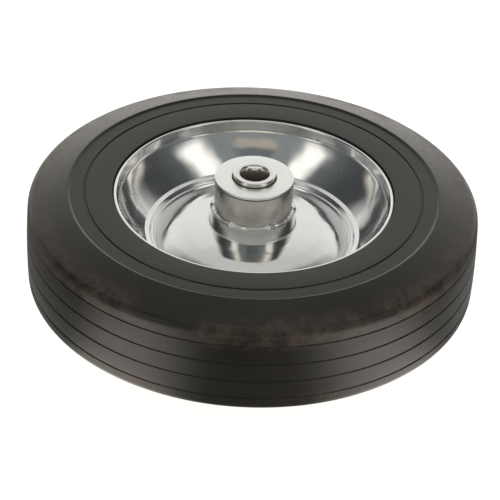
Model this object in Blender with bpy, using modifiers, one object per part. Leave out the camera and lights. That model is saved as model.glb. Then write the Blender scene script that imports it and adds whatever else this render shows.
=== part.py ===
"""Puncture-proof wheel: a solid rubber tyre on a rim of two pressed steel dishes, with a welded
hub tube, a cup-and-cone ball bearing at each end and a sleeve for the axle through the middle.

Metres, +Z up. The wheel lies on its side: its axle runs along Z and its centre is the origin.
Each turned piece is a profile of (radius, height) points in the XZ plane, spun round Z.
"""

import math

import bmesh
import bpy
from mathutils import Vector

MM = 0.001

# Tyre
TYRE_RADIUS = 100.0 * MM
TYRE_WIDTH = 52.0 * MM
TREAD_CROWN = 0.6 * MM
SHOULDER_FILLET = 5.2 * MM
SHOULDER_DROP = 6.9 * MM
TREAD_GROOVES_EACH_SIDE = 2
TREAD_GROOVE_PITCH = 8.8 * MM
TREAD_GROOVE_WIDTH = 1.9 * MM
TREAD_GROOVE_DEPTH = 0.9 * MM
SIDE_GROOVE_OFFSETS = (13.5 * MM, 20.8 * MM)
SIDE_GROOVE_WIDTH = 3.5 * MM
SIDE_GROOVE_DEPTH = 0.8 * MM
GROOVE_FLANK = 0.3 * MM
INNER_BAND_DROP = 0.4 * MM
BEAD_FILLET = 0.5 * MM

# Rim: two pressed dishes, back to back
SHEET = 1.2 * MM
RIM_RADIUS = 62.0 * MM
LIP_DROP = 2.2 * MM
LIP_HEIGHT = 3.5 * MM
LIP_TAPER = 0.3 * MM
WALL_BELLY_INSET = 6.6 * MM
WALL_BELLY_SHARE = 0.46
WALL_CURVE = 40.0 * MM
CREASE_INSET = 14.7 * MM
CREASE_HEIGHT = 2.85 * MM
LEDGE_INSET = 17.4 * MM
LEDGE_HEIGHT = 2.55 * MM
TROUGH_INSET = 19.6 * MM
TROUGH_WIDTH = 1.6 * MM
TROUGH_CURVE = 1.5 * MM
WEB_EDGE_INSET = 23.7 * MM
WEB_EDGE_HEIGHT = 2.65 * MM
WEB_BEND_INSET = 28.5 * MM
WEB_BEND_HEIGHT = 2.95 * MM
WEB_CURVE = 20.0 * MM
WEB_RISE = 8.0 * MM
COLLAR_HEIGHT = 7.6 * MM
COLLAR_FLARE = 0.4 * MM
COLLAR_FILLET = 1.5 * MM

# Hub tube, weld beads and end covers
HUB_RADIUS = 17.4 * MM
HUB_WALL = 2.0 * MM
HUB_LENGTH = 62.0 * MM
HUB_CHAMFER = 0.3 * MM
WELD_RADIUS = 0.5 * MM
WELD_RIPPLE = 0.12 * MM
WELD_RIPPLES = 17
COVER_THICKNESS = 1.0 * MM
COVER_EDGE_FILLET = 0.4 * MM
COVER_SKIRT_WALL = 0.9 * MM
COVER_SKIRT_DEPTH = 1.0 * MM
COVER_RUNNING_GAP = 0.7 * MM

# Bearings and axle sleeve
BALL_DIAMETER = 6.35 * MM
BALL_SPACING = 0.2 * MM
CUP_WALL = 1.35 * MM
CUP_WRAP = math.radians(66)
CONE_WRAP = math.radians(64)
AXLE_BORE_RADIUS = 5.5 * MM
CONE_RADIUS = 9.3 * MM
CONE_STAND_OUT = 2.0 * MM
CONE_RIM_FILLET = 0.6 * MM
CONE_TAIL = 3.2 * MM
MOUTH_RADIUS = 6.8 * MM
MOUTH_DEPTH = 3.0 * MM
SPACER_WALL = 1.6 * MM

# Clearances
TOUCH_GAP = 0.3 * MM
PRESS_GAP = 0.2 * MM
RACE_GAP = 0.2 * MM

# Smoothness
WHEEL_STEPS = 36
HUB_STEPS = 28
BEARING_STEPS = 28
WELD_STEPS = 3 * WELD_RIPPLES
WELD_SIDES = 4
BALL_SEGMENTS = 8
BALL_RINGS = 6
ARC_STEP = math.radians(50)
RACE_STEP = math.radians(24)
FILLET_SHARE = 0.48
MERGE_DISTANCE = 0.01 * MM

# Sizes that follow from those above
TYRE_SIDE = TYRE_WIDTH / 2
TYRE_BORE_RADIUS = RIM_RADIUS + TOUCH_GAP
SIDE_GROOVE_RADII = [TYRE_BORE_RADIUS + out for out in SIDE_GROOVE_OFFSETS]
TROUGH_RADIUS = RIM_RADIUS - TROUGH_INSET
HUB_END = HUB_LENGTH / 2
HUB_BORE_RADIUS = HUB_RADIUS - HUB_WALL
WEB_LEVEL = TOUCH_GAP / 2 + SHEET
COLLAR_FOOT = WEB_LEVEL + WEB_RISE
COLLAR_TOP = COLLAR_FOOT + COLLAR_HEIGHT
COLLAR_RADIUS = HUB_RADIUS + TOUCH_GAP + SHEET
BALL_RADIUS = BALL_DIAMETER / 2
CUP_RADIUS = HUB_BORE_RADIUS - PRESS_GAP
CUP_BORE_RADIUS = CUP_RADIUS - CUP_WALL
TRACK_RADIUS = CUP_BORE_RADIUS - RACE_GAP - BALL_RADIUS
RACE_CURVE = BALL_RADIUS + RACE_GAP
COVER_BASE = HUB_END + TOUCH_GAP
COVER_TOP = COVER_BASE + COVER_THICKNESS
COVER_SKIRT_END = HUB_END - COVER_SKIRT_DEPTH
BALL_HEIGHT = COVER_SKIRT_END - BALL_RADIUS + TOUCH_GAP
CONE_TOP = COVER_TOP + CONE_STAND_OUT
CONE_END = BALL_HEIGHT - CONE_TAIL
BALL_COUNT = int(2 * math.pi * TRACK_RADIUS / (BALL_DIAMETER + BALL_SPACING))


def clear_scene():
    for old in list(bpy.data.objects):
        bpy.data.objects.remove(old)


def new_material(name, colour, roughness, metallic):
    material = bpy.data.materials.new(name)
    material.use_nodes = True
    shader = material.node_tree.nodes["Principled BSDF"]
    shader.inputs["Base Color"].default_value = (*colour, 1.0)
    shader.inputs["Roughness"].default_value = roughness
    shader.inputs["Metallic"].default_value = metallic
    material.diffuse_color = (*colour, 1.0)
    return material


def arc(centre, radius, start, end, step=ARC_STEP):
    """Points of an arc in a profile, with both its ends. Angles count from +X towards +Z."""
    count = max(1, math.ceil(abs(end - start) / step))
    angles = [start + (end - start) * i / count for i in range(count + 1)]
    return [(centre[0] + radius * math.cos(a), centre[1] + radius * math.sin(a)) for a in angles]


def filleted(corners):
    """A profile through (radius, height, fillet) corners, each corner rounded by its fillet."""
    points = []
    last = len(corners) - 1
    for i, (x, z, fillet) in enumerate(corners):
        corner = Vector((x, z))
        if not fillet or i in (0, last):
            points.append((x, z))
            continue
        back = Vector(corners[i - 1][:2]) - corner
        ahead = Vector(corners[i + 1][:2]) - corner
        half = back.angle(ahead) / 2
        longest = FILLET_SHARE * min(back.length, ahead.length)
        setback = min(fillet / math.tan(half), longest)
        radius = setback * math.tan(half)
        middle = corner + (back.normalized() + ahead.normalized()).normalized() * radius / math.sin(half)
        first = corner + back.normalized() * setback - middle
        turn = first.angle_signed(corner + ahead.normalized() * setback - middle)
        start = math.atan2(first.y, first.x)
        points += arc(middle, radius, start, start - turn)
    return points


def offset(points, distance):
    """The open profile moved to its left by distance, with mitred corners."""
    moved = []
    for i, point in enumerate(points):
        here = Vector(point)
        sides = []
        if i > 0:
            sides.append((here - Vector(points[i - 1])).normalized())
        if i < len(points) - 1:
            sides.append((Vector(points[i + 1]) - here).normalized())
        normals = [Vector((-side.y, side.x)) for side in sides]
        mitre = sum(normals, Vector((0, 0))).normalized()
        moved.append(tuple(here + mitre * distance / mitre.dot(normals[0])))
    return moved


def mirrored(points):
    """The profile turned over to the other side of the wheel, in reverse order."""
    return [(x, -z) for x, z in reversed(points)]


def add_turned(name, points, closed, steps, material, collection):
    """An object whose profile is spun round Z by a Screw modifier."""
    mesh = bpy.data.meshes.new(name)
    edges = [(i, i + 1) for i in range(len(points) - 1)]
    if closed:
        edges.append((len(points) - 1, 0))
    mesh.from_pydata([(x, 0.0, z) for x, z in points], edges, [])
    mesh.materials.append(material)
    turned = bpy.data.objects.new(name, mesh)
    collection.objects.link(turned)
    screw = turned.modifiers.new("Turn", "SCREW")
    screw.steps = steps
    screw.render_steps = steps
    screw.use_merge_vertices = True
    screw.merge_threshold = MERGE_DISTANCE
    screw.use_smooth_shade = True
    return turned


def add_thickness(shell, thickness):
    """Thickens a turned shell on the side that lies to the left of its profile."""
    solidify = shell.modifiers.new("Sheet", "SOLIDIFY")
    solidify.thickness = thickness
    solidify.offset = 1.0
    solidify.use_even_offset = True


def add_joint_empty(name, collection):
    empty = bpy.data.objects.new(name, None)
    empty.empty_display_size = CONE_RADIUS
    collection.objects.link(empty)
    return empty


def add_rear_copy(front, name, collection):
    """The same piece turned over to the rear side of the wheel."""
    rear = front.copy()
    rear.name = name
    rear.rotation_euler = (math.pi, 0, 0)
    collection.objects.link(rear)
    return rear


def dish_corners():
    """The face of a dish that shows, from its upright lip in to the top of the hub collar."""
    lip = TYRE_SIDE - LIP_DROP
    lip_foot = lip - LIP_HEIGHT
    crease = WEB_LEVEL + CREASE_HEIGHT
    belly = crease + WALL_BELLY_SHARE * (lip_foot - crease)
    return [
        (RIM_RADIUS - SHEET, lip, 0),
        (RIM_RADIUS - SHEET - LIP_TAPER, lip_foot, 0),
        (RIM_RADIUS - WALL_BELLY_INSET, belly, WALL_CURVE),
        (RIM_RADIUS - CREASE_INSET, crease, 0),
        (RIM_RADIUS - LEDGE_INSET, WEB_LEVEL + LEDGE_HEIGHT, 0),
        (TROUGH_RADIUS, WEB_LEVEL, TROUGH_CURVE),
        (TROUGH_RADIUS - TROUGH_WIDTH, WEB_LEVEL, TROUGH_CURVE),
        (RIM_RADIUS - WEB_EDGE_INSET, WEB_LEVEL + WEB_EDGE_HEIGHT, 0),
        (RIM_RADIUS - WEB_BEND_INSET, WEB_LEVEL + WEB_BEND_HEIGHT, WEB_CURVE),
        (COLLAR_RADIUS + COLLAR_FLARE, COLLAR_FOOT, COLLAR_FILLET),
        (COLLAR_RADIUS, COLLAR_TOP, 0),
    ]


def tread_radius(height):
    """The crowned tread's radius at a height above the wheel's middle."""
    edge = TYRE_SIDE - SHOULDER_DROP
    return TYRE_RADIUS - TREAD_CROWN * (height / edge) ** 2


def tread_half():
    """The tread from its shoulder down to the last groove above the wheel's middle."""
    points = []
    for i in reversed(range(TREAD_GROOVES_EACH_SIDE)):
        middle = (i + 0.5) * TREAD_GROOVE_PITCH
        top = middle + TREAD_GROOVE_WIDTH / 2
        bottom = middle - TREAD_GROOVE_WIDTH / 2
        floor = tread_radius(middle) - TREAD_GROOVE_DEPTH
        points += [
            (tread_radius(top), top, 0),
            (floor, top - GROOVE_FLANK, 0),
            (floor, bottom + GROOVE_FLANK, 0),
            (tread_radius(bottom), bottom, 0),
        ]
    return points


def side_groove(outer_radius, inner_level, outer_level):
    floor = outer_level - SIDE_GROOVE_DEPTH
    return [
        (outer_radius - SIDE_GROOVE_WIDTH, inner_level, 0),
        (outer_radius - SIDE_GROOVE_WIDTH + GROOVE_FLANK, floor, 0),
        (outer_radius - GROOVE_FLANK, floor, 0),
        (outer_radius, outer_level, 0),
    ]


def tyre_outline():
    """The closed section of the tyre. Its inner side follows the backs of the two dishes."""
    inner_band = TYRE_SIDE - INNER_BAND_DROP
    seat = offset([corner[:2] for corner in dish_corners()[:5]], SHEET + TOUCH_GAP)
    half = filleted(
        [
            *((x, z, 0) for x, z in seat[3::-1]),
            (TYRE_BORE_RADIUS, inner_band, BEAD_FILLET),
            *side_groove(SIDE_GROOVE_RADII[0], inner_band, TYRE_SIDE),
            *side_groove(SIDE_GROOVE_RADII[1], TYRE_SIDE, TYRE_SIDE),
            (tread_radius(TYRE_SIDE - SHOULDER_DROP), TYRE_SIDE - SHOULDER_DROP, SHOULDER_FILLET),
            *tread_half(),
        ]
    )
    return half + mirrored(half)


def add_tyre(collection):
    rubber = new_material("solid_rubber", (0.035, 0.032, 0.030), 0.62, 0.0)
    return add_turned("tyre", tyre_outline(), True, WHEEL_STEPS, rubber, collection)


def add_rims(collection):
    zinc = new_material("zinc_plated_rim", (0.72, 0.73, 0.73), 0.16, 1.0)
    rim = add_turned("rim_front", filleted(dish_corners()), False, WHEEL_STEPS, zinc, collection)
    add_thickness(rim, SHEET)
    add_rear_copy(rim, "rim_rear", collection)


def add_hub_tube(collection):
    steel = new_material("hub_steel", (0.50, 0.49, 0.47), 0.38, 1.0)
    outer = [
        (HUB_BORE_RADIUS, HUB_END),
        (HUB_RADIUS - HUB_CHAMFER, HUB_END),
        (HUB_RADIUS, HUB_END - HUB_CHAMFER),
    ]
    return add_turned("hub_tube", outer + mirrored(outer), True, HUB_STEPS, steel, collection)


def add_welds(collection):
    """A rippled fillet weld where each collar meets the hub tube."""
    weld_metal = new_material("weld_metal", (0.60, 0.60, 0.58), 0.30, 1.0)
    ring_radius = HUB_RADIUS + TOUCH_GAP + WELD_RIPPLE + WELD_RADIUS
    height = COLLAR_TOP + TOUCH_GAP + WELD_RIPPLE + WELD_RADIUS
    bpy.ops.mesh.primitive_torus_add(
        major_segments=WELD_STEPS,
        minor_segments=WELD_SIDES,
        major_radius=ring_radius,
        minor_radius=WELD_RADIUS,
    )
    weld = bpy.context.object
    weld.name = "weld_front"
    weld.data.materials.append(weld_metal)
    for vertex in weld.data.vertices:
        around = math.atan2(vertex.co.y, vertex.co.x)
        middle = Vector((ring_radius * math.cos(around), ring_radius * math.sin(around), 0))
        swell = 1 + WELD_RIPPLE / WELD_RADIUS * math.sin(WELD_RIPPLES * around)
        vertex.co = middle + (vertex.co - middle) * swell + Vector((0, 0, height))
    weld.data.shade_smooth()
    for old in list(weld.users_collection):
        old.objects.unlink(weld)
    collection.objects.link(weld)
    add_rear_copy(weld, "weld_rear", collection)


def add_end_covers(collection):
    """A flat disc on the tube's end, with a short skirt that centres it in the bearing cup."""
    plate = new_material("cover_zinc", (0.66, 0.68, 0.66), 0.45, 1.0)
    skirt_radius = CUP_BORE_RADIUS - PRESS_GAP
    outline = filleted(
        [
            (CONE_RADIUS + COVER_RUNNING_GAP, COVER_BASE, 0),
            (CONE_RADIUS + COVER_RUNNING_GAP, COVER_TOP, 0),
            (HUB_RADIUS, COVER_TOP, COVER_EDGE_FILLET),
            (HUB_RADIUS, COVER_BASE, 0),
            (skirt_radius, COVER_BASE, 0),
            (skirt_radius, COVER_SKIRT_END, 0),
            (skirt_radius - COVER_SKIRT_WALL, COVER_SKIRT_END, 0),
            (skirt_radius - COVER_SKIRT_WALL, COVER_BASE, 0),
        ]
    )
    cover = add_turned("end_cover_front", outline, True, HUB_STEPS, plate, collection)
    add_rear_copy(cover, "end_cover_rear", collection)


def add_bearing_cups(collection):
    """The pressed outer race: a ring whose inner end curls under the balls."""
    steel = new_material("cup_steel", (0.45, 0.45, 0.45), 0.25, 1.0)
    centre = (TRACK_RADIUS, BALL_HEIGHT)
    race = [(CUP_BORE_RADIUS, HUB_END - TOUCH_GAP)] + arc(centre, RACE_CURVE, 0, -CUP_WRAP, RACE_STEP)
    cup = add_turned("bearing_cup_front", race, False, BEARING_STEPS, steel, collection)
    add_thickness(cup, CUP_WALL)
    add_rear_copy(cup, "bearing_cup_rear", collection)


def cone_outline():
    """The turned inner race. Its rounded rim stands out of the cover, with a wide mouth for the axle."""
    centre = (TRACK_RADIUS, BALL_HEIGHT)
    race = arc(centre, RACE_CURVE, math.pi - CONE_WRAP, math.pi, RACE_STEP)
    rim = filleted(
        [
            (AXLE_BORE_RADIUS, CONE_TOP - MOUTH_DEPTH, 0),
            (MOUTH_RADIUS - CONE_RIM_FILLET / 2, CONE_TOP - CONE_RIM_FILLET, 0),
            (MOUTH_RADIUS, CONE_TOP, 0),
            (CONE_RADIUS, CONE_TOP, CONE_RIM_FILLET),
            (CONE_RADIUS, race[0][1] + TOUCH_GAP, 0),
        ]
    )
    tail_radius = TRACK_RADIUS - RACE_CURVE
    return rim + race + [(tail_radius, CONE_END), (AXLE_BORE_RADIUS, CONE_END)]


def add_axle_pieces(collection):
    """The cones and the spacer between them, all on the empty that turns with the axle."""
    bright = new_material("bright_steel", (0.78, 0.78, 0.77), 0.12, 1.0)
    grey = new_material("spacer_steel", (0.40, 0.39, 0.38), 0.40, 1.0)
    cone = add_turned("bearing_cone_front", cone_outline(), True, BEARING_STEPS, bright, collection)
    rear = add_rear_copy(cone, "bearing_cone_rear", collection)
    end = CONE_END - TOUCH_GAP
    wall = [
        (AXLE_BORE_RADIUS, end),
        (AXLE_BORE_RADIUS + SPACER_WALL, end),
    ]
    spacer = add_turned("axle_spacer", wall + mirrored(wall), True, BEARING_STEPS, grey, collection)
    axle = add_joint_empty("axle_turn", collection)
    for piece in (cone, rear, spacer):
        piece.parent = axle


def add_ball_mesh(material):
    mesh = bpy.data.meshes.new("bearing_ball")
    shape = bmesh.new()
    bmesh.ops.create_uvsphere(
        shape, u_segments=BALL_SEGMENTS, v_segments=BALL_RINGS, radius=BALL_RADIUS
    )
    shape.to_mesh(mesh)
    shape.free()
    mesh.shade_smooth()
    mesh.materials.append(material)
    return mesh


def add_balls(collection):
    """A full ring of loose balls at each end, on an empty that turns with the ring."""
    polished = new_material("ball_steel", (0.80, 0.80, 0.80), 0.05, 1.0)
    mesh = add_ball_mesh(polished)
    for side, height in (("front", BALL_HEIGHT), ("rear", -BALL_HEIGHT)):
        ring = add_joint_empty(f"ball_ring_{side}", collection)
        for i in range(BALL_COUNT):
            around = 2 * math.pi * i / BALL_COUNT
            ball = bpy.data.objects.new(f"ball_{side}_{i + 1:02d}", mesh)
            ball.location = (TRACK_RADIUS * math.cos(around), TRACK_RADIUS * math.sin(around), height)
            ball.rotation_euler = (0, 0, around)
            ball.parent = ring
            collection.objects.link(ball)


def build():
    clear_scene()
    wheel = bpy.data.collections.new("puncture_proof_wheel")
    bpy.context.scene.collection.children.link(wheel)
    add_tyre(wheel)
    add_rims(wheel)
    add_hub_tube(wheel)
    add_welds(wheel)
    add_end_covers(wheel)
    add_bearing_cups(wheel)
    add_axle_pieces(wheel)
    add_balls(wheel)


build()
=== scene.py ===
"""The looks of the puncture-proof wheel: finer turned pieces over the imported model, procedural
materials, a plain white studio and a camera at the photograph's angle. Metres, +Z up.
"""

import math

import bmesh
import bpy
from mathutils import Matrix, Vector, noise


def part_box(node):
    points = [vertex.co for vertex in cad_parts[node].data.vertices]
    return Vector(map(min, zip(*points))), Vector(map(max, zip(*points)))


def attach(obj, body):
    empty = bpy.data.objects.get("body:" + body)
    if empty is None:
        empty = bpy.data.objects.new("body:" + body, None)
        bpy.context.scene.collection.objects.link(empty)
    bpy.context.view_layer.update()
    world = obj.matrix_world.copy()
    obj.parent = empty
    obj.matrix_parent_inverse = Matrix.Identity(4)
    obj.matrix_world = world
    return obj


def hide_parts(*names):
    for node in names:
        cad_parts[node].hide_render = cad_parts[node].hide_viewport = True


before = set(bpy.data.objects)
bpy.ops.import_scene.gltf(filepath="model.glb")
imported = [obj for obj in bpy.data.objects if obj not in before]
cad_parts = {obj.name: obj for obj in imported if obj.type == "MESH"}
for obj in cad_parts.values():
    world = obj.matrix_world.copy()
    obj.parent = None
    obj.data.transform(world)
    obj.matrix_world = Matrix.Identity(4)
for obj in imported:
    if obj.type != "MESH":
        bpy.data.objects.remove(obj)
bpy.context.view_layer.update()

MM = 0.001
TURN = 2 * math.pi

# Tyre
TYRE_RADIUS = 100.0 * MM
TYRE_SIDE = 26.0 * MM
TYRE_BORE_RADIUS = 62.3 * MM
TREAD_CROWN = 0.6 * MM
SHOULDER_FILLET = 5.2 * MM
SHOULDER_DROP = 6.9 * MM
TREAD_GROOVES_EACH_SIDE = 2
TREAD_GROOVE_PITCH = 8.8 * MM
TREAD_GROOVE_WIDTH = 1.1 * MM
TREAD_GROOVE_DEPTH = 0.45 * MM
GROOVE_FLANK = 0.3 * MM
GROOVE_EDGE_FILLET = 0.2 * MM
SIDE_CREST_RADIUS = 82.1 * MM
SIDE_CREST_DROP = 0.9 * MM
SIDE_CREST_FILLET = 0.6 * MM
SIDE_STEP_RADIUS = 80.8 * MM
SIDE_STEP_DROP = 1.6 * MM
SIDE_STEP_FILLET = 0.3 * MM
SIDE_LINE_RADIUS = 74.6 * MM
SIDE_LINE_WIDTH = 1.2 * MM
SIDE_LINE_DEPTH = 0.5 * MM
INNER_BAND_DROP = 1.35 * MM
BEAD_FILLET = 0.25 * MM

# Rim dishes. Insets count inwards from the rim, heights of crease to bend from the web's level.
SHEET = 1.2 * MM
RIM_RADIUS = 62.0 * MM
LIP_DROP = 2.1 * MM
LIP_HEIGHT = 5.0 * MM
LIP_WIDTH = 1.5 * MM
LIP_TAPER = 0.7 * MM
LIP_FILLET = 5.0 * MM
LIP_EDGE_FILLET = 0.7 * MM
HEM_DEPTH = 3.6 * MM
WALL_BELLY_INSET = 6.6 * MM
WALL_BELLY_SHARE = 0.505
WALL_CURVE = 40.0 * MM
CREASE_INSET = 14.3 * MM
CREASE_HEIGHT = 2.85 * MM
LEDGE_INSET = 16.3 * MM
LEDGE_HEIGHT = 2.55 * MM
TROUGH_INSET = 17.5 * MM
TROUGH_HEIGHT = 0.3 * MM
TROUGH_CURVE = 0.8 * MM
WEB_FOOT_INSET = 19.0 * MM
WEB_FOOT_HEIGHT = 1.6 * MM
WEB_EDGE_INSET = 22.4 * MM
WEB_EDGE_HEIGHT = 3.6 * MM
WEB_MIDDLE_INSET = 28.0 * MM
WEB_MIDDLE_HEIGHT = 6.0 * MM
WEB_BEND_INSET = 34.5 * MM
WEB_BEND_HEIGHT = 7.4 * MM
WEB_CURVE = 60.0 * MM
WEB_LEVEL = 1.35 * MM
WEB_RISE = 8.0 * MM
COLLAR_HEIGHT = 7.0 * MM
COLLAR_FLARE = 0.1 * MM
COLLAR_FILLET = 0.7 * MM
PRESS_FILLET = 0.5 * MM

# Hub tube, end covers and what shows of weld and grease
HUB_RADIUS = 17.4 * MM
HUB_WALL = 2.0 * MM
HUB_END = 31.0 * MM
HUB_CHAMFER = 0.3 * MM
COVER_THICKNESS = 1.0 * MM
COVER_EDGE_FILLET = 0.25 * MM
COVER_SKIRT_WALL = 0.9 * MM
COVER_SKIRT_DEPTH = 1.0 * MM
COVER_RUNNING_GAP = 0.7 * MM
WELD_RADIUS = 0.78 * MM
WELD_SINK = 0.45 * MM
GREASE_RADIUS = 0.3 * MM

# Bearings and axle sleeve
BALL_RADIUS = 3.175 * MM
CUP_WALL = 1.35 * MM
CUP_WRAP = math.radians(66)
CONE_WRAP = math.radians(64)
AXLE_BORE_RADIUS = 5.5 * MM
CONE_RADIUS = 9.3 * MM
CONE_STAND_OUT = 2.0 * MM
CONE_RIM_FILLET = 0.6 * MM
CONE_TAIL = 3.2 * MM
MOUTH_RADIUS = 6.8 * MM
MOUTH_DEPTH = 3.0 * MM
MOUTH_FUNNEL_FILLET = 1.0 * MM
MOUTH_EDGE_FILLET = 0.3 * MM
SPACER_WALL = 1.6 * MM

# Clearances
TOUCH_GAP = 0.3 * MM
PRESS_GAP = 0.2 * MM
RACE_GAP = 0.2 * MM

# Sizes that follow from those above
LIP_TOP = TYRE_SIDE - LIP_DROP
COLLAR_FOOT = WEB_LEVEL + WEB_RISE
COLLAR_TOP = COLLAR_FOOT + COLLAR_HEIGHT
COLLAR_RADIUS = HUB_RADIUS + TOUCH_GAP + SHEET
CUP_BORE_RADIUS = HUB_RADIUS - HUB_WALL - PRESS_GAP - CUP_WALL
TRACK_RADIUS = CUP_BORE_RADIUS - RACE_GAP - BALL_RADIUS
RACE_CURVE = BALL_RADIUS + RACE_GAP
COVER_BASE = HUB_END + TOUCH_GAP
COVER_TOP = COVER_BASE + COVER_THICKNESS
COVER_SKIRT_END = HUB_END - COVER_SKIRT_DEPTH
BALL_HEIGHT = COVER_SKIRT_END - BALL_RADIUS + TOUCH_GAP
CONE_TOP = COVER_TOP + CONE_STAND_OUT
CONE_END = BALL_HEIGHT - CONE_TAIL

# The weld bead's thickness as a share of WELD_RADIUS: its mean and two (share, scale) ripples.
# The blobs are (bearing, share), in degrees from +X, each BLOB_SPREAD degrees wide.
WELD_MEAN = 0.85
WELD_RIPPLES = ((0.20, 8.8), (0.12, 24.0))
WELD_BLOBS = ((238, 1.0), (244, 0.5), (292, 1.0), (298, 0.5), (181, 0.9), (-2, 0.9), (262, 0.3))
BLOB_SPREAD = 4.0

# Smoothness
WHEEL_STEPS = 288
HUB_STEPS = 160
BEAD_STEPS = 320
BEAD_SIDES = 14
BALL_SEGMENTS = 32
BALL_RINGS = 16
ARC_STEP = math.radians(9)
SHARP_ANGLE = math.radians(24)
MERGE_DISTANCE = 0.01 * MM
FILLET_SHARE = 0.48

# Colours
RUBBER_DARK = (0.0078, 0.0066, 0.0056)
RUBBER_LIGHT = (0.0150, 0.0124, 0.0102)
RUBBER_RINGS = (0.040, 0.033, 0.026)
DUST = (0.080, 0.058, 0.040)
SPECKS = (0.26, 0.23, 0.19)
ZINC_DARK = (0.74, 0.75, 0.75)
ZINC_LIGHT = (0.82, 0.82, 0.81)
ZINC_PITS = (0.05, 0.045, 0.04)
ZINC_DARKER_COLLAR = (0.60, 0.60, 0.58)
TUBE_STEEL = (0.64, 0.615, 0.565)
COVER_ZINC = (0.90, 0.92, 0.89)
WELD_METAL = (0.88, 0.88, 0.86)
CUP_STEEL = (0.45, 0.44, 0.42)
BRIGHT_STEEL = (0.80, 0.80, 0.78)
SPACER_STEEL = (0.30, 0.29, 0.28)
BALL_STEEL = (0.82, 0.82, 0.82)
GREASE_DARK = (0.085, 0.07, 0.014)
GREASE_LIGHT = (0.17, 0.145, 0.04)
# The next two are painted shade: at the hub tube's joint with its cover, and in the cones' bores
SEAM_PAINTED_SHADE = (0.10, 0.085, 0.07)
BORE_PAINTED_SHADE = (0.42, 0.37, 0.31)
SHADE_SHARE = 0.85

# Scales of the noise in the materials, finer with a larger scale. Rings have one along and one across.
RUBBER_GRAIN = 700.0
RUBBER_CLOUD = 22.0
RUBBER_SPOTS = 150.0
RUBBER_RING_SCALES = (6.0, 900.0)
SPECK_SCALE = 170.0
ZINC_WAVE = 38.0
ZINC_HAZE = 120.0
ZINC_RING_SCALES = (9.0, 1400.0)
PIT_SCALE = 420.0
PIT_GROUP_SCALE = 120.0
METAL_CLOUD = 160.0
METAL_GRAIN = 600.0
GREASE_CLOUD = 300.0

# Between which values of its noise each thing sets in. NOISE_RANGE holds nearly all of a noise.
NOISE_RANGE = (0.3, 0.7)
LIGHTER_RUBBER = (0.40, 0.70)
LIGHTER_RINGS = (0.60, 0.80)
DUSTY_SPOTS = (0.32, 0.72)
DUSTY_PATCHES = (0.36, 0.60)
SPECK_EDGE = (0.075, 0.045)
SPECK_GROUPS = (0.56, 0.60)
PIT_EDGE = (0.20, 0.10)
PIT_GROUPS = (0.60, 0.66)
ROUGHER_HAZE = (0.35, 0.75)

# Roughness, and relief as (strength, depth)
RUBBER_ROUGHNESS = (0.32, 0.40)
RUBBER_SPECULAR = 0.45
RUBBER_SPECULAR_TINT = (1.0, 0.96, 0.90)
DUST_ROUGHNESS = 0.2
ZINC_ROUGHNESS = (0.10, 0.16)
SHADED_ROUGHNESS = 0.4
GREASE_ROUGHNESS = 0.3
FLOOR_ROUGHNESS = 0.9
RUBBER_RELIEF = (0.25, 0.3 * MM)
RUBBER_RING_RELIEF = 0.6
RUBBER_GRAIN_RELIEF = 0.4
ZINC_RELIEF = (0.30, 2.0 * MM)
ZINC_RING_RELIEF = 0.012
METAL_DEPTH = 0.2 * MM

# Where dust and pits show and where the collar is darker, as radii and as heights above the wheel's middle
DUST_RADII = (96.0 * MM, 101.0 * MM)
DUST_RADII_SOFT = 8.0 * MM
DUST_HEIGHTS = (14.0 * MM, 22.0 * MM)
DUST_HEIGHTS_SOFT = 4.0 * MM
PIT_RADII = (44.0 * MM, 58.0 * MM)
PITS_FURTHER_IN = 0.3
DARKER_COLLAR_RADIUS = 19.5 * MM
DARKER_COLLAR_RADIUS_SOFT = 1.5 * MM
DARKER_COLLAR_HEIGHTS = (8.5 * MM, 10.5 * MM)

# Camera, fitted to the rings of the photograph
IMAGE_SIZE = 500
SENSOR = 36.0
FOCAL_PIXELS = 2550.0
CLIP_START, CLIP_END = 0.01, 50.0
CAMERA_PLACE = Vector((0.0, -941.2, 640.4)) * MM
CAMERA_PAN = math.radians(-0.03)
CAMERA_PITCH = math.radians(34.51)
CAMERA_ROLL = math.radians(2.6)

# The wheel stays tipped on the end of its hub, so the floor is tilted under it
FLOOR_RADIUS = 0.9
FLOOR_SEGMENTS = 96
FLOOR_CONTACT_RADIUS = SIDE_CREST_RADIUS
FLOOR_CONTACT_BEARING = math.radians(-57.5)
REST_RADIUS = CONE_RADIUS - CONE_RIM_FILLET

# Studio. Bearings count from the camera's side to the right, heights from the horizon, in degrees.
# A pair of limits says where one shade starts to give way to the next and where it has done so.
WHITE = (1.0, 1.0, 1.0)
FRONT_GREY = (0.26, 0.28, 0.28)
SIDE_DARK = (0.062, 0.066, 0.068)
SIDE_BEARINGS = (20.0, 108.0)
BACKDROP = (0.94, 0.94, 0.91)
BACKDROP_BEARINGS = (114.0, 142.0)
BACKDROP_FADE = (28.0, 58.0)
CEILING = (0.62, 0.62, 0.60)
CEILING_HEIGHTS = (66.0, 78.0)
# (colour, heights, bearings) of the lit strips low at the sides and behind
HORIZONS = (
    ((0.84, 0.78, 0.68), (16.0, 6.5), (100.0, 110.0)),
    ((1.8, 1.75, 1.65), (23.0, 8.0), (130.0, 150.0)),
)
# (bearings, heights, soft edge, colour)
PANELS = (
    # The right and the left softbox
    ((53, 65), (30, 57), 13, (1.4, 1.35, 1.27)),
    ((-59, -50), (30, 57), 13, (1.4, 1.35, 1.27)),
    # The dark gap above the camera and the warm wall under it
    ((-16, 18), (45, 53), 7, (0.15, 0.17, 0.175)),
    ((-18, 17), (33, 40), 4, (0.47, 0.42, 0.34)),
    # The lit table edge, which the top of the far wall and the mouth of the bearing cone mirror
    ((-50, 50), (2, 12), 4, (1.1, 1.05, 0.98)),
)

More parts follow.
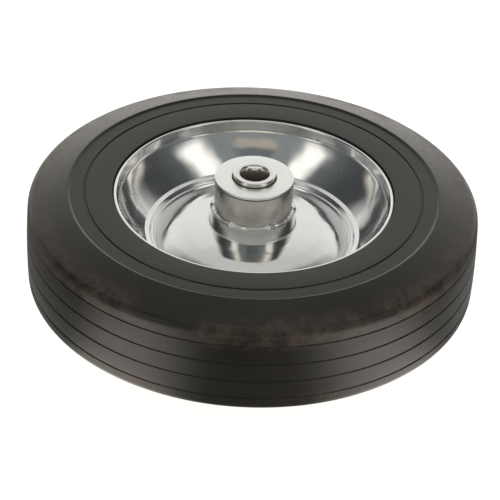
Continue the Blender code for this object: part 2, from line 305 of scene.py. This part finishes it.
# What the floor gives back to the tread, by bearing: dark in front, bright on both sides of it, dark
# again at the sides and bright behind, most of all to the right. A little shows close to the wheel.
FLOOR_SHADE = (0.3, 0.3, 0.3)
FLOOR_GLOW = (1.0, 0.98, 0.94)
FLOOR_FRONT, FLOOR_FLANKS = 0.02, 2.0
FLOOR_FLANKS_RISE = (12.0, 38.0)
FLOOR_FLANKS_FALL = (44.0, 70.0)
FLOOR_FLANKS_LEFT = 0.05
FLOOR_NEAR = 0.25
FLOOR_NEAR_RADII = (145.0 * MM, 118.0 * MM)
FLOOR_BACK = 1.0
FLOOR_BACK_BEARINGS = (130.0, 175.0)
FLOOR_BACK_RIGHT = 0.6
FLOOR_BACK_RIGHT_BEARINGS = (140.0, 162.0)
FLOOR_BACK_RIGHT_SOFT = 18.0


def arc(centre, radius, start, end, step=ARC_STEP):
    """Points of an arc in a profile, with both its ends. Angles count from +X towards +Z."""
    count = max(1, math.ceil(abs(end - start) / step))
    angles = [start + (end - start) * i / count for i in range(count + 1)]
    return [(centre[0] + radius * math.cos(a), centre[1] + radius * math.sin(a)) for a in angles]


def filleted(corners):
    """A profile through (radius, height, fillet) corners, each corner rounded by its fillet."""
    points = []
    last = len(corners) - 1
    for i, (x, z, fillet) in enumerate(corners):
        corner = Vector((x, z))
        if not fillet or i in (0, last):
            points.append((x, z))
            continue
        back = Vector(corners[i - 1][:2]) - corner
        ahead = Vector(corners[i + 1][:2]) - corner
        half = back.angle(ahead) / 2
        longest = FILLET_SHARE * min(back.length, ahead.length)
        setback = min(fillet / math.tan(half), longest)
        radius = setback * math.tan(half)
        middle = corner + (back.normalized() + ahead.normalized()).normalized() * radius / math.sin(half)
        first = corner + back.normalized() * setback - middle
        turn = first.angle_signed(corner + ahead.normalized() * setback - middle)
        start = math.atan2(first.y, first.x)
        points += arc(middle, radius, start, start - turn)
    return points


def offset(points, distance):
    """The open profile moved to its left by distance, with mitred corners."""
    moved = []
    for i, point in enumerate(points):
        here = Vector(point)
        sides = []
        if i > 0:
            sides.append((here - Vector(points[i - 1])).normalized())
        if i < len(points) - 1:
            sides.append((Vector(points[i + 1]) - here).normalized())
        normals = [Vector((-side.y, side.x)) for side in sides]
        mitre = sum(normals, Vector((0, 0))).normalized()
        place = here + mitre * distance / mitre.dot(normals[0])
        if not moved or (place - Vector(moved[-1])).length > MERGE_DISTANCE:
            moved.append(tuple(place))
    return moved


def mirrored(points):
    """The profile turned over to the other side of the wheel, in reverse order."""
    return [(x, -z) for x, z in reversed(points)]


def new_piece(name, mesh, material, body, nodes=()):
    """Puts a finished mesh into the scene: its finish, the body it rides on and what it stands for."""
    mesh.materials.append(material)
    mesh.shade_smooth()
    mesh.set_sharp_from_angle(angle=SHARP_ANGLE)
    piece = bpy.data.objects.new(name, mesh)
    bpy.context.scene.collection.objects.link(piece)
    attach(piece, body)
    if nodes:
        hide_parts(*nodes)


def ring_mesh(name, sections):
    """A closed ring through sections round Z, each a closed loop of as many points."""
    count = len(sections[0])
    faces = []
    for i in range(len(sections)):
        here, there = i * count, (i + 1) % len(sections) * count
        for j in range(count):
            k = (j + 1) % count
            faces.append((here + j, there + j, there + k, here + k))
    mesh = bpy.data.meshes.new(name)
    mesh.from_pydata([point for section in sections for point in section], [], faces)
    shape = bmesh.new()
    shape.from_mesh(mesh)
    bmesh.ops.recalc_face_normals(shape, faces=shape.faces)
    shape.to_mesh(mesh)
    shape.free()
    return mesh


def turned_mesh(name, outline, steps, flip=False):
    """A closed outline of (radius, height) points, spun round Z. flip turns it over to the rear side."""
    side = -1 if flip else 1
    sections = []
    for i in range(steps):
        around = TURN * i / steps
        sections.append([(x * math.cos(around), x * math.sin(around), side * z) for x, z in outline])
    return ring_mesh(name, sections)


def bead_mesh(name, radius, height, section, swell, flip):
    """A ring of round section whose thickness varies with swell(bearing), a share of section."""
    side = -1 if flip else 1
    sections = []
    for i in range(BEAD_STEPS):
        around = TURN * i / BEAD_STEPS
        thickness = section * swell(around)
        points = []
        for j in range(BEAD_SIDES):
            angle = TURN * j / BEAD_SIDES
            x = radius + thickness * math.cos(angle)
            z = side * (height + thickness * math.sin(angle))
            points.append((x * math.cos(around), x * math.sin(around), z))
        sections.append(points)
    return ring_mesh(name, sections)


def weld_swell(around):
    """How thick the weld bead is at a bearing: uneven all round, with a few blobs."""
    place = Vector((math.cos(around), math.sin(around), 0))
    swell = WELD_MEAN
    for share, scale in WELD_RIPPLES:
        swell += share * noise.noise(place * scale)
    for bearing, share in WELD_BLOBS:
        away = (math.degrees(around) - bearing + 180) % 360 - 180
        swell += share * math.exp(-((away / BLOB_SPREAD) ** 2))
    return swell


def dish_face():
    """The face of a dish that shows, from its upright lip in to the top of the hub collar."""
    foot = LIP_TOP - LIP_HEIGHT
    crease = WEB_LEVEL + CREASE_HEIGHT
    belly = crease + WALL_BELLY_SHARE * (foot - crease)
    return [
        (RIM_RADIUS - LIP_WIDTH, LIP_TOP, 0),
        (RIM_RADIUS - LIP_WIDTH - LIP_TAPER, foot, LIP_FILLET),
        (RIM_RADIUS - WALL_BELLY_INSET, belly, WALL_CURVE),
        (RIM_RADIUS - CREASE_INSET, crease, PRESS_FILLET),
        (RIM_RADIUS - LEDGE_INSET, WEB_LEVEL + LEDGE_HEIGHT, PRESS_FILLET),
        (RIM_RADIUS - TROUGH_INSET, WEB_LEVEL + TROUGH_HEIGHT, TROUGH_CURVE),
        (RIM_RADIUS - WEB_FOOT_INSET, WEB_LEVEL + WEB_FOOT_HEIGHT, WEB_CURVE),
        (RIM_RADIUS - WEB_EDGE_INSET, WEB_LEVEL + WEB_EDGE_HEIGHT, WEB_CURVE),
        (RIM_RADIUS - WEB_MIDDLE_INSET, WEB_LEVEL + WEB_MIDDLE_HEIGHT, WEB_CURVE),
        (RIM_RADIUS - WEB_BEND_INSET, WEB_LEVEL + WEB_BEND_HEIGHT, WEB_CURVE),
        (COLLAR_RADIUS + COLLAR_FLARE, COLLAR_FOOT, COLLAR_FILLET),
        (COLLAR_RADIUS, COLLAR_TOP, 0),
    ]


def dish_outline():
    """The closed section of a dish: its face, its back and the hem, where the sheet is folded over."""
    face = filleted(dish_face())
    back = offset(face, SHEET)[:0:-1]
    corners = [(x, z, 0) for x, z in face[1:] + back]
    hem = [
        (RIM_RADIUS, LIP_TOP - HEM_DEPTH, 0),
        (RIM_RADIUS, LIP_TOP, LIP_EDGE_FILLET),
        (*face[0], LIP_EDGE_FILLET),
        (*face[1], 0),
    ]
    return filleted(corners + hem)[:-1]


def tread_radius(height):
    """The crowned tread's radius at a height above the wheel's middle."""
    edge = TYRE_SIDE - SHOULDER_DROP
    return TYRE_RADIUS - TREAD_CROWN * (height / edge) ** 2


def tread_half():
    """The tread from its shoulder down to the last groove above the wheel's middle."""
    points = []
    for i in reversed(range(TREAD_GROOVES_EACH_SIDE)):
        middle = (i + 0.5) * TREAD_GROOVE_PITCH
        top = middle + TREAD_GROOVE_WIDTH / 2
        bottom = middle - TREAD_GROOVE_WIDTH / 2
        floor = tread_radius(middle) - TREAD_GROOVE_DEPTH
        points += [
            (tread_radius(top), top, GROOVE_EDGE_FILLET),
            (floor, top - GROOVE_FLANK, GROOVE_EDGE_FILLET),
            (floor, bottom + GROOVE_FLANK, GROOVE_EDGE_FILLET),
            (tread_radius(bottom), bottom, GROOVE_EDGE_FILLET),
        ]
    return points


def side_line(level):
    """The fine moulded line round the inner band of the tyre's side."""
    top, floor = SIDE_LINE_WIDTH / 2, SIDE_LINE_WIDTH / 2 - GROOVE_FLANK
    return [
        (SIDE_LINE_RADIUS - top, level, GROOVE_EDGE_FILLET),
        (SIDE_LINE_RADIUS - floor, level - SIDE_LINE_DEPTH, GROOVE_EDGE_FILLET),
        (SIDE_LINE_RADIUS + floor, level - SIDE_LINE_DEPTH, GROOVE_EDGE_FILLET),
        (SIDE_LINE_RADIUS + top, level, GROOVE_EDGE_FILLET),
    ]


def tyre_outline():
    """The closed section of the tyre. Its inner side follows the backs of the two dishes."""
    inner_band = TYRE_SIDE - INNER_BAND_DROP
    seat = offset([corner[:2] for corner in dish_face()[:5]], SHEET + TOUCH_GAP)
    half = filleted(
        [
            *((x, z, 0) for x, z in seat[3:0:-1]),
            (TYRE_BORE_RADIUS, LIP_TOP - LIP_HEIGHT, 0),
            (TYRE_BORE_RADIUS, inner_band, BEAD_FILLET),
            *side_line(inner_band),
            (SIDE_STEP_RADIUS, TYRE_SIDE - SIDE_STEP_DROP, SIDE_STEP_FILLET),
            (SIDE_CREST_RADIUS, TYRE_SIDE - SIDE_CREST_DROP, SIDE_CREST_FILLET),
            (tread_radius(TYRE_SIDE - SHOULDER_DROP), TYRE_SIDE - SHOULDER_DROP, SHOULDER_FILLET),
            *tread_half(),
        ]
    )
    return half + mirrored(half)


def hub_outline():
    """The closed section of the hub tube, with its outer edges chamfered."""
    outer = [
        (HUB_RADIUS - HUB_WALL, HUB_END),
        (HUB_RADIUS - HUB_CHAMFER, HUB_END),
        (HUB_RADIUS, HUB_END - HUB_CHAMFER),
    ]
    return outer + mirrored(outer)


def cover_outline():
    """The closed section of an end cover: a disc on the tube's end with a short skirt inside it."""
    skirt = CUP_BORE_RADIUS - PRESS_GAP
    bore = CONE_RADIUS + COVER_RUNNING_GAP
    return filleted(
        [
            (bore, COVER_BASE, 0),
            (bore, COVER_TOP, COVER_EDGE_FILLET / 2),
            (HUB_RADIUS, COVER_TOP, COVER_EDGE_FILLET),
            (HUB_RADIUS, COVER_BASE, 0),
            (skirt, COVER_BASE, 0),
            (skirt, COVER_SKIRT_END, 0),
            (skirt - COVER_SKIRT_WALL, COVER_SKIRT_END, 0),
            (skirt - COVER_SKIRT_WALL, COVER_BASE, 0),
        ]
    )


def cup_outline():
    """The closed section of a bearing cup, whose race curves under the balls."""
    centre = (TRACK_RADIUS, BALL_HEIGHT)
    race = [(CUP_BORE_RADIUS, HUB_END - TOUCH_GAP)] + arc(centre, RACE_CURVE, 0, -CUP_WRAP)
    return race + offset(race, CUP_WALL)[::-1]


def cone_outline():
    """The inner race, with the rounded rim that stands out of the cover and a mouth for the axle."""
    race = arc((TRACK_RADIUS, BALL_HEIGHT), RACE_CURVE, math.pi - CONE_WRAP, math.pi)
    rim = filleted(
        [
            (AXLE_BORE_RADIUS, CONE_TOP - MOUTH_DEPTH, 0),
            (MOUTH_RADIUS - CONE_RIM_FILLET / 2, CONE_TOP - CONE_RIM_FILLET, MOUTH_FUNNEL_FILLET),
            (MOUTH_RADIUS, CONE_TOP, MOUTH_EDGE_FILLET),
            (CONE_RADIUS, CONE_TOP, CONE_RIM_FILLET),
            (CONE_RADIUS, race[0][1] + TOUCH_GAP, 0),
        ]
    )
    return rim + race + [(TRACK_RADIUS - RACE_CURVE, CONE_END), (AXLE_BORE_RADIUS, CONE_END)]


def spacer_outline():
    """The closed section of the tube between the two cones."""
    end = CONE_END - TOUCH_GAP
    wall = [(AXLE_BORE_RADIUS, end), (AXLE_BORE_RADIUS + SPACER_WALL, end)]
    return wall + mirrored(wall)


def put(tree, kind, inputs=(), **settings):
    """A node with its settings and inputs. An input given as a socket is linked, a value is set."""
    made = tree.nodes.new(kind)
    for name, value in settings.items():
        setattr(made, name, value)
    for key, value in dict(inputs).items():
        if isinstance(value, bpy.types.NodeSocket):
            tree.links.new(value, made.inputs[key])
        else:
            made.inputs[key].default_value = value
    return made


def noise_of(tree, place, scale, detail=3.0, roughness=0.55):
    """Noise from about 0 to 1, finer with a larger scale."""
    inputs = {"Vector": place, "Scale": scale, "Detail": detail, "Roughness": roughness}
    return put(tree, "ShaderNodeTexNoise", inputs).outputs["Fac"]


def dots(tree, place, scale):
    """The distance to the nearest of scattered points, 0 on each of them."""
    return put(tree, "ShaderNodeTexVoronoi", {"Vector": place, "Scale": scale}).outputs["Distance"]


def ranged(tree, value, low, high, to_low=0.0, to_high=1.0):
    """value, taken from low..high to to_low..to_high along a smooth step."""
    inputs = {"Value": value, "From Min": low, "From Max": high, "To Min": to_low, "To Max": to_high}
    return put(tree, "ShaderNodeMapRange", inputs, interpolation_type="SMOOTHSTEP").outputs["Result"]


def maths(tree, operation, first, second=0.0):
    """The result of one Math node."""
    return put(tree, "ShaderNodeMath", {0: first, 1: second}, operation=operation).outputs[0]


def times(tree, *values):
    """The product of two or more values."""
    product = values[0]
    for value in values[1:]:
        product = maths(tree, "MULTIPLY", product, value)
    return product


def plus(tree, first, second):
    """The sum of two values."""
    return maths(tree, "ADD", first, second)


def between(tree, value, low, high, soft):
    """1 between low and high, falling to 0 within soft outside them."""
    return times(tree, ranged(tree, value, low - soft, low), ranged(tree, value, high + soft, high))


def mixed(tree, factor, first, second):
    """Two colours mixed by factor."""
    node = put(tree, "ShaderNodeMix", {"Factor": factor}, data_type="RGBA")
    for key, value in ((6, first), (7, second)):
        if isinstance(value, bpy.types.NodeSocket):
            tree.links.new(value, node.inputs[key])
        else:
            node.inputs[key].default_value = (*value, 1.0)
    return node.outputs[2]


def new_material(name):
    """A material with its node tree, its Principled node and the object's own coordinates."""
    material = bpy.data.materials.new(name)
    material.use_nodes = True
    tree = material.node_tree
    place = put(tree, "ShaderNodeTexCoord").outputs["Object"]
    return material, tree, tree.nodes["Principled BSDF"], place


def link(tree, shader, **sockets):
    """Links or sets the Principled node's inputs. Underscores in the names stand for spaces."""
    for name, value in sockets.items():
        socket = shader.inputs[name.replace("_", " ")]
        if isinstance(value, bpy.types.NodeSocket):
            tree.links.new(value, socket)
        elif isinstance(value, tuple):
            socket.default_value = (*value, 1.0)
        else:
            socket.default_value = value


def bumped(tree, height, strength, distance):
    """The shading normal of a surface with this relief."""
    inputs = {"Height": height, "Strength": strength, "Distance": distance}
    return put(tree, "ShaderNodeBump", inputs).outputs["Normal"]


def split(tree, place):
    """The X, Y and Z of a place or a direction."""
    return put(tree, "ShaderNodeSeparateXYZ", {0: place}).outputs


def round_place(tree, place):
    """Coordinates along the wheel: bearing in turns, radius, and height above or below its middle."""
    parts = split(tree, place)
    around = maths(tree, "DIVIDE", maths(tree, "ARCTAN2", parts["Y"], parts["X"]), TURN)
    across = put(tree, "ShaderNodeCombineXYZ", {"X": parts["X"], "Y": parts["Y"]}).outputs[0]
    radius = put(tree, "ShaderNodeVectorMath", {0: across}, operation="LENGTH").outputs["Value"]
    return around, radius, parts["Z"]


def front_bearing(tree, parts):
    """The bearing of a direction or a place in degrees, from the camera's side to the right."""
    toward = maths(tree, "MULTIPLY", parts["Y"], -1.0)
    return maths(tree, "DEGREES", maths(tree, "ARCTAN2", parts["X"], toward))


def streaks(tree, around, radius, height, along, across):
    """Noise drawn out along the wheel's circles. along and across are its scales."""
    spot = {
        "X": times(tree, around, along),
        "Y": times(tree, radius, across),
        "Z": times(tree, height, across),
    }
    return noise_of(tree, put(tree, "ShaderNodeCombineXYZ", spot).outputs[0], 1.0, roughness=0.6)


def rubber():
    """Black moulded rubber with fine rings, brown dust at the shoulders and a few pale specks."""
    material, tree, shader, place = new_material("solid_rubber_looks")
    around, radius, height = round_place(tree, place)
    level = maths(tree, "ABSOLUTE", height)
    rings = streaks(tree, around, radius, height, *RUBBER_RING_SCALES)
    grain = noise_of(tree, place, RUBBER_GRAIN, detail=4.0)
    cloud = noise_of(tree, place, RUBBER_CLOUD, detail=4.0)
    spots = noise_of(tree, place, RUBBER_SPOTS, detail=6.0, roughness=0.75)
    shoulder = between(tree, radius, *DUST_RADII, DUST_RADII_SOFT)
    side = between(tree, level, *DUST_HEIGHTS, DUST_HEIGHTS_SOFT)
    patches = ranged(tree, cloud, *DUSTY_PATCHES)
    dusty = times(tree, shoulder, side, ranged(tree, spots, *DUSTY_SPOTS), patches)
    specks = ranged(tree, dots(tree, place, SPECK_SCALE), *SPECK_EDGE)
    specks = times(tree, specks, ranged(tree, spots, *SPECK_GROUPS))
    colour = mixed(tree, ranged(tree, cloud, *LIGHTER_RUBBER), RUBBER_DARK, RUBBER_LIGHT)
    colour = mixed(tree, ranged(tree, rings, *LIGHTER_RINGS), colour, RUBBER_RINGS)
    colour = mixed(tree, dusty, colour, DUST)
    colour = mixed(tree, specks, colour, SPECKS)
    roughness = ranged(tree, grain, *NOISE_RANGE, *RUBBER_ROUGHNESS)
    roughness = plus(tree, roughness, times(tree, dusty, DUST_ROUGHNESS))
    bumps = plus(tree, times(tree, rings, RUBBER_RING_RELIEF), times(tree, grain, RUBBER_GRAIN_RELIEF))
    link(
        tree, shader, Base_Color=colour, Roughness=roughness, Specular_IOR_Level=RUBBER_SPECULAR,
        Specular_Tint=RUBBER_SPECULAR_TINT, Normal=bumped(tree, bumps, *RUBBER_RELIEF),
    )
    return material


def zinc():
    """Bright zinc plate: nearly a mirror, a little wavy, with fine rings and small dark pits. It is
    darker on the hub collar, fading out towards the collar's foot.
    """
    material, tree, shader, place = new_material("zinc_plate_looks")
    around, radius, height = round_place(tree, place)
    level = maths(tree, "ABSOLUTE", height)
    wave = noise_of(tree, place, ZINC_WAVE, detail=2.0)
    haze = noise_of(tree, place, ZINC_HAZE, detail=4.0)
    rings = streaks(tree, around, radius, height, *ZINC_RING_SCALES)
    groups = ranged(tree, noise_of(tree, place, PIT_GROUP_SCALE, detail=2.0), *PIT_GROUPS)
    further_out = ranged(tree, radius, *PIT_RADII, PITS_FURTHER_IN, 1.0)
    pits = times(tree, ranged(tree, dots(tree, place, PIT_SCALE), *PIT_EDGE), groups, further_out)
    near_collar = between(tree, radius, 0.0, DARKER_COLLAR_RADIUS, DARKER_COLLAR_RADIUS_SOFT)
    darker_collar = times(tree, near_collar, ranged(tree, level, *DARKER_COLLAR_HEIGHTS))
    colour = mixed(tree, haze, ZINC_DARK, ZINC_LIGHT)
    colour = mixed(tree, pits, colour, ZINC_PITS)
    colour = mixed(tree, darker_collar, colour, ZINC_DARKER_COLLAR)
    roughness = ranged(tree, haze, *ROUGHER_HAZE, *ZINC_ROUGHNESS)
    bumps = plus(tree, wave, times(tree, rings, ZINC_RING_RELIEF))
    link(
        tree, shader, Base_Color=colour, Metallic=1.0, Roughness=roughness,
        Normal=bumped(tree, bumps, *ZINC_RELIEF),
    )
    return material


def satin(name, colour, roughness, spread=0.08, bump=0.1, painted_shade=None):
    """A plain metal whose roughness and shade vary a little.

    painted_shade is (coordinate, unshaded, shaded, colour): along the "radius" or the "height", painted
    shade darkens the metal from one place to the other, and the metal is rougher there.
    """
    material, tree, shader, place = new_material(name)
    cloud = noise_of(tree, place, METAL_CLOUD, detail=4.0)
    shade = mixed(tree, cloud, tuple(SHADE_SHARE * part for part in colour), colour)
    rough = ranged(tree, cloud, *NOISE_RANGE, roughness - spread / 2, roughness + spread / 2)
    if painted_shade:
        coordinate, unshaded, shaded, painted_shade_colour = painted_shade
        _, radius, height = round_place(tree, place)
        where = radius if coordinate == "radius" else maths(tree, "ABSOLUTE", height)
        share = ranged(tree, where, unshaded, shaded)
        # Painted shade: the metal is coloured darker from the unshaded place to the shaded one, and made
        # rougher.
        shade = mixed(tree, share, shade, painted_shade_colour)
        rough = plus(tree, rough, times(tree, share, SHADED_ROUGHNESS))
    relief = bumped(tree, noise_of(tree, place, METAL_GRAIN), bump, METAL_DEPTH)
    link(tree, shader, Base_Color=shade, Metallic=1.0, Roughness=rough, Normal=relief)
    return material


def grease():
    """Old yellow-brown bearing grease."""
    material, tree, shader, place = new_material("grease_looks")
    colour = mixed(tree, noise_of(tree, place, GREASE_CLOUD), GREASE_DARK, GREASE_LIGHT)
    link(tree, shader, Base_Color=colour, Roughness=GREASE_ROUGHNESS)
    return material


def add_turned(name, outline, steps, look, body, node, flip=False):
    """A turned piece that stands for one node."""
    new_piece(name, turned_mesh(name, outline, steps, flip), look, body, [node])


def add_balls(look):
    """Round balls in the places of the model's faceted ones."""
    for end, height in (("front", BALL_HEIGHT), ("rear", -BALL_HEIGHT)):
        for node in (n for n in sorted(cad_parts) if n.startswith(f"ball_{end}_")):
            low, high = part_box(node)
            centre = (low + high) / 2
            bearing = math.atan2(centre.y, centre.x)
            place = Vector((TRACK_RADIUS * math.cos(bearing), TRACK_RADIUS * math.sin(bearing), height))
            shape = bmesh.new()
            bmesh.ops.create_uvsphere(
                shape, u_segments=BALL_SEGMENTS, v_segments=BALL_RINGS, radius=BALL_RADIUS,
                matrix=Matrix.Translation(place),
            )
            mesh = bpy.data.meshes.new(node.replace("ball", "round_ball"))
            shape.to_mesh(mesh)
            shape.free()
            new_piece(mesh.name, mesh, look, f"ball_ring_{end}", [node])


def add_pieces():
    """All the pieces of the wheel, each in its finish."""
    # Painted shade in a narrow band at the top of the hub tube, at its joint with the cover
    seam = ("height", HUB_END - 2 * TOUCH_GAP, HUB_END, SEAM_PAINTED_SHADE)
    # Painted shade on the wall of each cone's bore, inside the hole
    bore = ("radius", AXLE_BORE_RADIUS + TOUCH_GAP, AXLE_BORE_RADIUS + TOUCH_GAP / 2, BORE_PAINTED_SHADE)
    tube_look = satin("tube_looks", TUBE_STEEL, 0.20, spread=0.06, bump=0.06, painted_shade=seam)
    cover_look = satin("cover_looks", COVER_ZINC, 0.36)
    cup_look = satin("cup_looks", CUP_STEEL, 0.3)
    bright_look = satin("bright_looks", BRIGHT_STEEL, 0.13, spread=0.04, bump=0.01, painted_shade=bore)
    weld_look = satin("weld_looks", WELD_METAL, 0.18, bump=0.3)
    spacer_look = satin("spacer_looks", SPACER_STEEL, 0.45)
    grease_look = grease()
    # (name, outline, steps, look, body, slot, node) of what each end has
    end_pieces = (
        ("dish", dish_outline(), WHEEL_STEPS, zinc(), "wheel", "zinc_plated_rim", "rim"),
        ("cover_disc", cover_outline(), HUB_STEPS, cover_look, "wheel", "cover_zinc", "end_cover"),
        ("cup", cup_outline(), HUB_STEPS, cup_look, "wheel", "cup_steel", "bearing_cup"),
        ("cone", cone_outline(), HUB_STEPS, bright_look, "axle_sleeve", "bright_steel", "bearing_cone"),
    )
    add_turned("tyre_rubber", tyre_outline(), WHEEL_STEPS, rubber(), "wheel", "tyre")
    add_turned("hub_tube_satin", hub_outline(), HUB_STEPS, tube_look, "wheel", "hub_tube")
    for end, flip in (("front", False), ("rear", True)):
        for name, outline, steps, look, body, slot, node in end_pieces:
            add_turned(f"{name}_{end}", outline, steps, look, body, f"{node}_{end}", flip)
        bead = bead_mesh(f"weld_bead_{end}", HUB_RADIUS + WELD_RADIUS - WELD_SINK,
                         COLLAR_TOP + WELD_RADIUS - WELD_SINK, WELD_RADIUS, weld_swell, flip)
        new_piece(bead.name, bead, weld_look, "wheel", [f"weld_{end}"])
        smear = bead_mesh(f"grease_{end}", CONE_RADIUS + COVER_RUNNING_GAP - GREASE_RADIUS,
                          COVER_TOP - GREASE_RADIUS, GREASE_RADIUS, lambda around: 1.0, flip)
        new_piece(smear.name, smear, grease_look, "wheel")
    add_turned("spacer_tube", spacer_outline(), HUB_STEPS, spacer_look, "axle_sleeve",
               "axle_spacer")
    add_balls(satin("ball_looks", BALL_STEEL, 0.08, spread=0.04, bump=0.02))


def white_floor():
    """A white floor to the camera. What it gives back to the wheel depends on the place."""
    material, tree, shader, place = new_material("white_floor")
    bearing = front_bearing(tree, split(tree, place))
    aside = maths(tree, "ABSOLUTE", bearing)
    glow = ranged(tree, aside, *FLOOR_FLANKS_RISE, FLOOR_FRONT, FLOOR_FLANKS)
    glow = times(tree, glow, ranged(tree, aside, *FLOOR_FLANKS_FALL, 1.0, FLOOR_FLANKS_LEFT))
    away = put(tree, "ShaderNodeVectorMath", {0: place}, operation="LENGTH").outputs["Value"]
    glow = plus(tree, glow, ranged(tree, away, *FLOOR_NEAR_RADII, 0.0, FLOOR_NEAR))
    glow = plus(tree, glow, ranged(tree, aside, *FLOOR_BACK_BEARINGS, 0.0, FLOOR_BACK))
    back_right = between(tree, bearing, *FLOOR_BACK_RIGHT_BEARINGS, FLOOR_BACK_RIGHT_SOFT)
    glow = plus(tree, glow, times(tree, back_right, FLOOR_BACK_RIGHT))
    seen = put(tree, "ShaderNodeLightPath").outputs["Is Camera Ray"]
    glow = plus(tree, times(tree, glow, maths(tree, "SUBTRACT", 1.0, seen)), seen)
    link(
        tree, shader, Base_Color=FLOOR_SHADE, Roughness=FLOOR_ROUGHNESS, Emission_Color=FLOOR_GLOW,
        Emission_Strength=glow,
    )
    return material


def add_floor():
    """A disc under the wheel, tilted so that it runs under the rear hub end and the tyre's side."""
    drop = CONE_TOP - TYRE_SIDE
    tilt = math.atan(drop / (FLOOR_CONTACT_RADIUS - REST_RADIUS))
    uphill = Vector((math.cos(FLOOR_CONTACT_BEARING), math.sin(FLOOR_CONTACT_BEARING), 0))
    shape = bmesh.new()
    bmesh.ops.create_circle(shape, cap_ends=True, segments=FLOOR_SEGMENTS, radius=FLOOR_RADIUS)
    mesh = bpy.data.meshes.new("floor")
    shape.to_mesh(mesh)
    shape.free()
    mesh.materials.append(white_floor())
    floor = bpy.data.objects.new("floor", mesh)
    bpy.context.scene.collection.objects.link(floor)
    contact = Matrix.Translation(uphill * REST_RADIUS - Vector((0, 0, CONE_TOP)))
    floor.matrix_world = contact @ Matrix.Rotation(-tilt, 4, Vector((0, 0, 1)).cross(uphill))


def add_camera():
    """The camera in the photograph's place, with its pan, pitch and roll."""
    data = bpy.data.cameras.new("camera")
    data.sensor_width = SENSOR
    data.lens = FOCAL_PIXELS * SENSOR / IMAGE_SIZE
    data.clip_start, data.clip_end = CLIP_START, CLIP_END
    camera = bpy.data.objects.new("camera", data)
    bpy.context.scene.collection.objects.link(camera)
    level = Vector((math.cos(CAMERA_PAN), -math.sin(CAMERA_PAN), 0))
    ahead = Vector((math.sin(CAMERA_PAN), math.cos(CAMERA_PAN), 0))
    forward = ahead * math.cos(CAMERA_PITCH) - Vector((0, 0, math.sin(CAMERA_PITCH)))
    upright = level.cross(forward)
    right = level * math.cos(CAMERA_ROLL) + upright * math.sin(CAMERA_ROLL)
    up = upright * math.cos(CAMERA_ROLL) - level * math.sin(CAMERA_ROLL)
    turn = Matrix((right, up, -forward)).transposed()
    camera.matrix_world = Matrix.Translation(CAMERA_PLACE) @ turn.to_4x4()
    bpy.context.scene.camera = camera


def add_studio():
    """The studio as the dish mirrors it, by bearing and height. The camera itself sees plain white."""
    world = bpy.data.worlds.new("studio")
    bpy.context.scene.world = world
    world.use_nodes = True
    tree = world.node_tree
    parts = split(tree, put(tree, "ShaderNodeTexCoord").outputs["Generated"])
    bearing = front_bearing(tree, parts)
    aside = maths(tree, "ABSOLUTE", bearing)
    height = maths(tree, "DEGREES", maths(tree, "ARCSINE", parts["Z"]))
    colour = mixed(tree, ranged(tree, aside, *SIDE_BEARINGS), FRONT_GREY, SIDE_DARK)
    backdrop = mixed(tree, ranged(tree, height, *BACKDROP_FADE), BACKDROP, CEILING)
    colour = mixed(tree, ranged(tree, aside, *BACKDROP_BEARINGS), colour, backdrop)
    colour = mixed(tree, ranged(tree, height, *CEILING_HEIGHTS), colour, CEILING)
    for shade, heights, bearings in HORIZONS:
        strip = times(tree, ranged(tree, height, *heights), ranged(tree, aside, *bearings))
        colour = mixed(tree, strip, colour, shade)
    for bearings, heights, soft, shade in PANELS:
        panel = times(tree, between(tree, bearing, *bearings, soft), between(tree, height, *heights, soft))
        colour = mixed(tree, panel, colour, shade)
    seen = put(tree, "ShaderNodeLightPath").outputs["Is Camera Ray"]
    colour = mixed(tree, seen, colour, WHITE)
    tree.links.new(colour, tree.nodes["Background"].inputs["Color"])
    bpy.context.scene.view_settings.view_transform = "Standard"


add_pieces()
add_floor()
add_camera()
add_studio()
